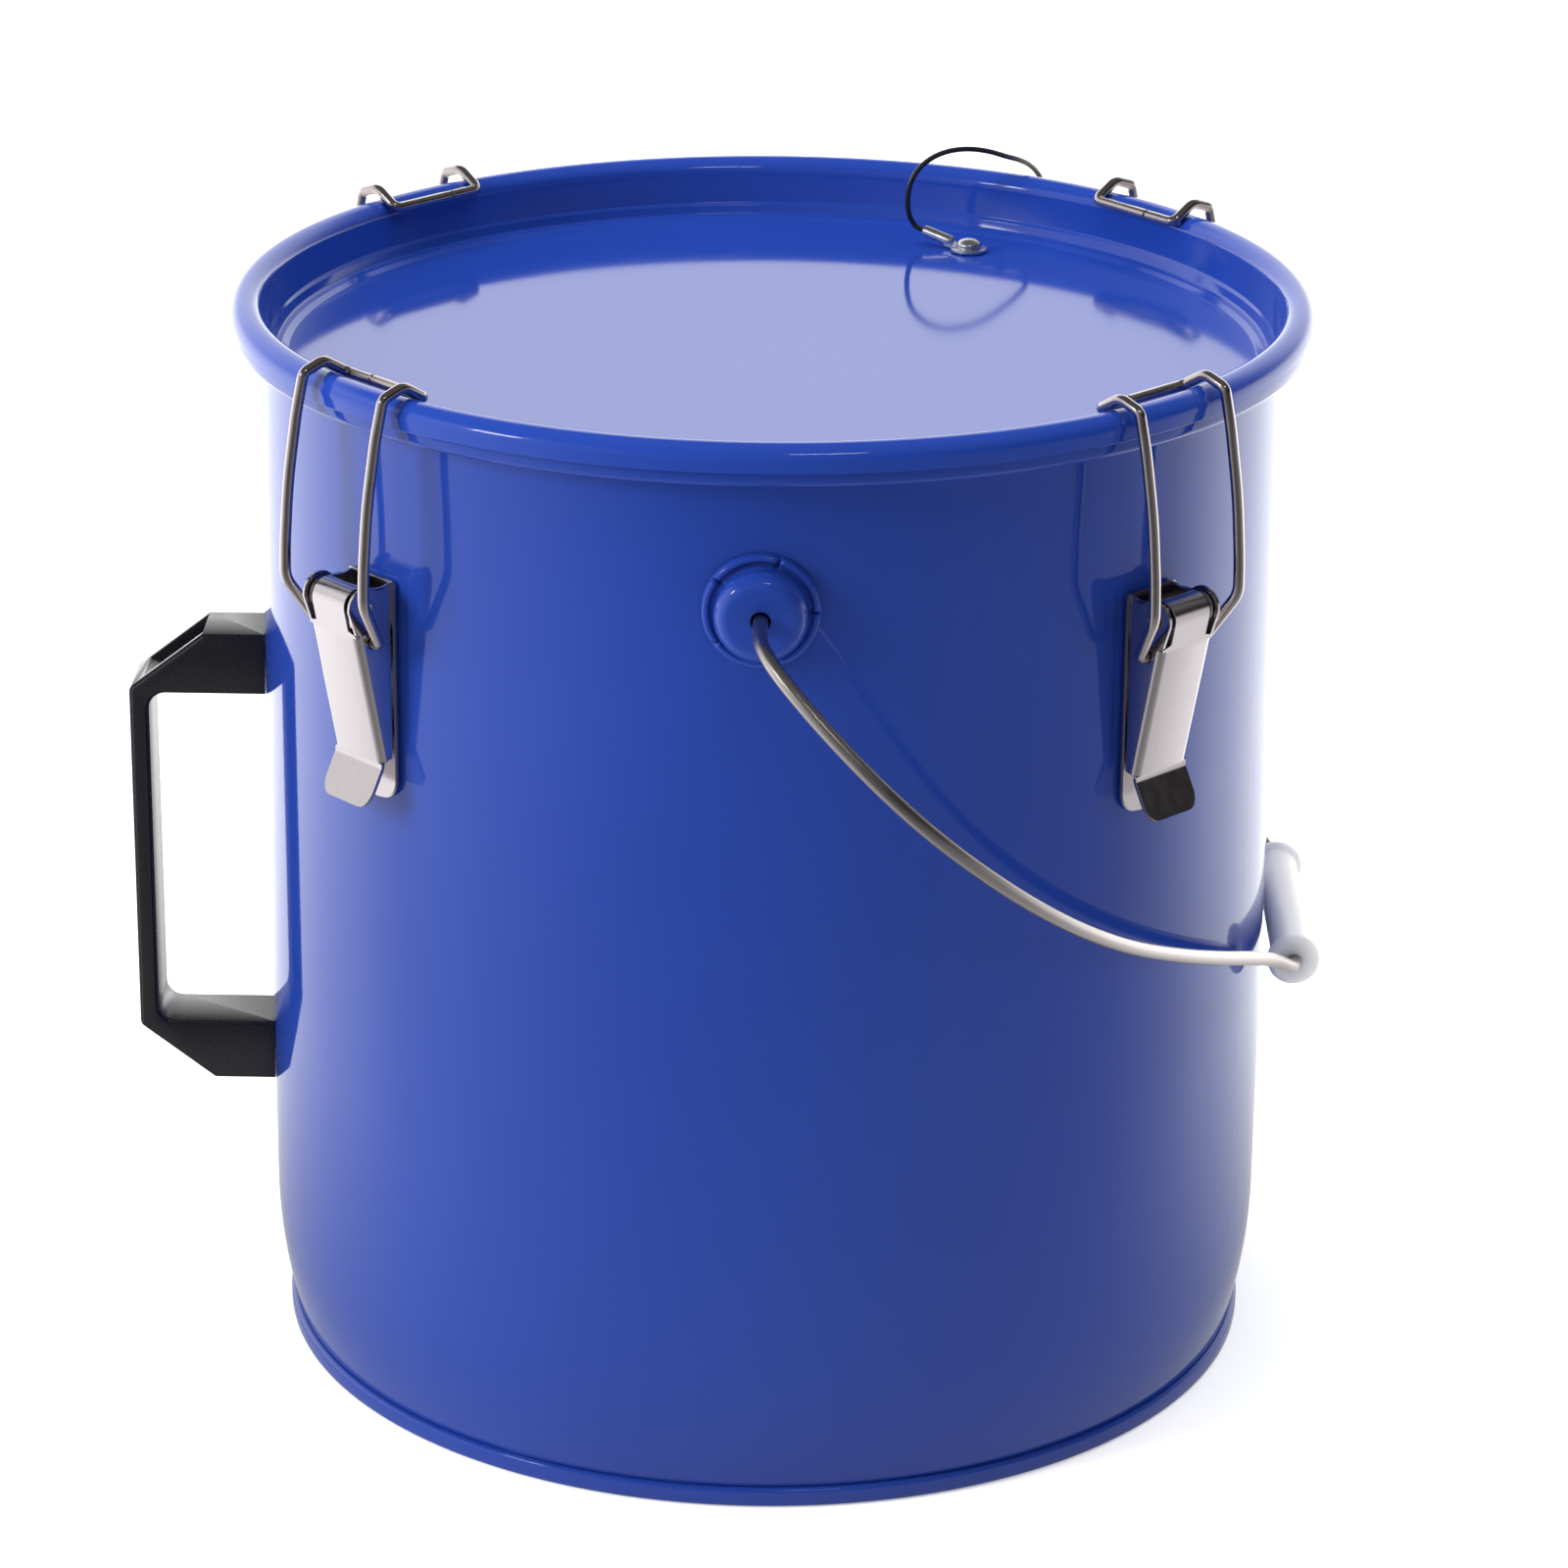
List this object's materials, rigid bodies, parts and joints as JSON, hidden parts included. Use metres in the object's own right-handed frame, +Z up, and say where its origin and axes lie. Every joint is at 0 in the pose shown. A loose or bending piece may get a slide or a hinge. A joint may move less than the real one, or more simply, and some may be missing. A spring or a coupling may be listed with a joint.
{
  "type": "wash bucket",
  "caption": "Round steel bucket with a sunk clamp-down lid, wire draw latches, a bridge handle on one side, a swinging wire bail with a roller grip and a lid tether.",
  "frame": {"origin": "centre of the bottom panel's underside, 4 mm above the floor that the foot seam stands on", "axes": "+Z up along the pail's axis, -X towards the bridge handle, +X towards the hanging bail's grip, Y along the bail's axis"},
  "size_m": [0.3209, 0.3716, 0.3009],
  "materials": {
    "blue_powder_coat": "gloss",
    "spring_wire": "satin",
    "satin_stainless": "satin",
    "bail_wire": "satin",
    "white_plastic": "satin, slightly translucent",
    "black_plastic": "satin",
    "zinc_steel": "satin",
    "gasket_rubber": "matte",
    "coated_cable": "satin",
    "tether_aluminium": "satin"
  },
  "bodies": {
    "pail": {"pail_shell": "blue_powder_coat", "bottom_panel": "blue_powder_coat", "bail_ear_front": "blue_powder_coat", "bail_ear_back": "blue_powder_coat", "handle": "black_plastic", "handle_screw_upper": "zinc_steel", "handle_screw_lower": "zinc_steel", "handle_washer_upper": "zinc_steel", "handle_washer_lower": "zinc_steel", "handle_nut_upper": "zinc_steel", "handle_nut_lower": "zinc_steel", "tether_pail_terminal": "tether_aluminium", "tether_pail_rivet": "tether_aluminium", "tether_cable": "coated_cable", "latch_rivet_left_front_left": "satin_stainless", "latch_rivet_right_front_left": "satin_stainless", "latch_rivet_lower_front_left": "satin_stainless", "latch_base_front_left": "satin_stainless", "latch_pin_front_left": "satin_stainless", "latch_rivet_left_front_right": "satin_stainless", "latch_rivet_right_front_right": "satin_stainless", "latch_rivet_lower_front_right": "satin_stainless", "latch_base_front_right": "satin_stainless", "latch_pin_front_right": "satin_stainless", "latch_rivet_left_back_right": "satin_stainless", "latch_rivet_right_back_right": "satin_stainless", "latch_rivet_lower_back_right": "satin_stainless", "latch_base_back_right": "satin_stainless", "latch_pin_back_right": "satin_stainless", "latch_rivet_left_back_left": "satin_stainless", "latch_rivet_right_back_left": "satin_stainless", "latch_rivet_lower_back_left": "satin_stainless", "latch_base_back_left": "satin_stainless", "latch_pin_back_left": "satin_stainless"},
    "lid": {"lid_panel": "blue_powder_coat", "lid_gasket": "gasket_rubber", "tether_lid_terminal": "tether_aluminium", "tether_lid_rivet": "tether_aluminium"},
    "bail": {"bail_wire": "bail_wire"},
    "grip": {"bail_grip": "white_plastic"},
    "lever_front_left": {"latch_lever_front_left": "satin_stainless"},
    "loop_front_left": {"latch_loop_front_left": "spring_wire"},
    "lever_front_right": {"latch_lever_front_right": "satin_stainless"},
    "loop_front_right": {"latch_loop_front_right": "spring_wire"},
    "lever_back_right": {"latch_lever_back_right": "satin_stainless"},
    "loop_back_right": {"latch_loop_back_right": "spring_wire"},
    "lever_back_left": {"latch_lever_back_left": "satin_stainless"},
    "loop_back_left": {"latch_loop_back_left": "spring_wire"}
  },
  "joints": [
    {"name": "lid_lift", "type": "slide", "parent": "pail", "child": "lid", "axis": [0, 0, 1], "range_m": [0, 0.1], "deforming": ["latch_loop_front_left", "latch_loop_front_right", "latch_loop_back_right", "latch_loop_back_left", "tether_cable"]},
    {"name": "lever_open_front_left", "type": "hinge", "parent": "pail", "child": "lever_front_left", "pos_m": [-0.10502, -0.10142, 0.2325], "axis": [-0.6947, 0.7193, 0], "range_deg": [0, 140]},
    {"name": "loop_swing_front_left", "type": "hinge", "parent": "lever_front_left", "child": "loop_front_left", "pos_m": [-0.10358, -0.10003, 0.223], "axis": [-0.6947, 0.7193, 0], "range_deg": [-168, 0]},
    {"name": "lever_open_front_right", "type": "hinge", "parent": "pail", "child": "lever_front_right", "pos_m": [0.10324, -0.10324, 0.2325], "axis": [-0.7071, -0.7071, 0], "range_deg": [0, 140]},
    {"name": "loop_swing_front_right", "type": "hinge", "parent": "lever_front_right", "child": "loop_front_right", "pos_m": [0.10182, -0.10182, 0.223], "axis": [-0.7071, -0.7071, 0], "range_deg": [-168, 0]},
    {"name": "lever_open_back_right", "type": "hinge", "parent": "pail", "child": "lever_back_right", "pos_m": [0.11019, 0.09578, 0.2325], "axis": [0.6561, -0.7547, 0], "range_deg": [0, 140]},
    {"name": "loop_swing_back_right", "type": "hinge", "parent": "lever_back_right", "child": "loop_back_right", "pos_m": [0.10868, 0.09447, 0.223], "axis": [0.6561, -0.7547, 0], "range_deg": [-168, 0]},
    {"name": "lever_open_back_left", "type": "hinge", "parent": "pail", "child": "lever_back_left", "pos_m": [-0.10626, 0.10013, 0.2325], "axis": [0.6858, 0.7278, 0], "range_deg": [0, 140]},
    {"name": "loop_swing_back_left", "type": "hinge", "parent": "lever_back_left", "child": "loop_back_left", "pos_m": [-0.1048, 0.09876, 0.223], "axis": [0.6858, 0.7278, 0], "range_deg": [-168, 0]},
    {"name": "bail_swing", "type": "hinge", "parent": "pail", "child": "bail", "pos_m": [0, 0, 0.2429], "axis": [0, -1, 0], "range_deg": [0, 228]},
    {"name": "grip_spin", "type": "hinge", "parent": "bail", "child": "grip", "pos_m": [0.1417, 0, 0.11113], "axis": [0, 1, 0], "continuous": true}
  ],
  "couplings": [
    {"joint": "loop_swing_front_left", "follows": "lever_open_front_left", "ratio": -1.2},
    {"joint": "loop_swing_front_right", "follows": "lever_open_front_right", "ratio": -1.2},
    {"joint": "loop_swing_back_right", "follows": "lever_open_back_right", "ratio": -1.2},
    {"joint": "loop_swing_back_left", "follows": "lever_open_back_left", "ratio": -1.2}
  ]
}
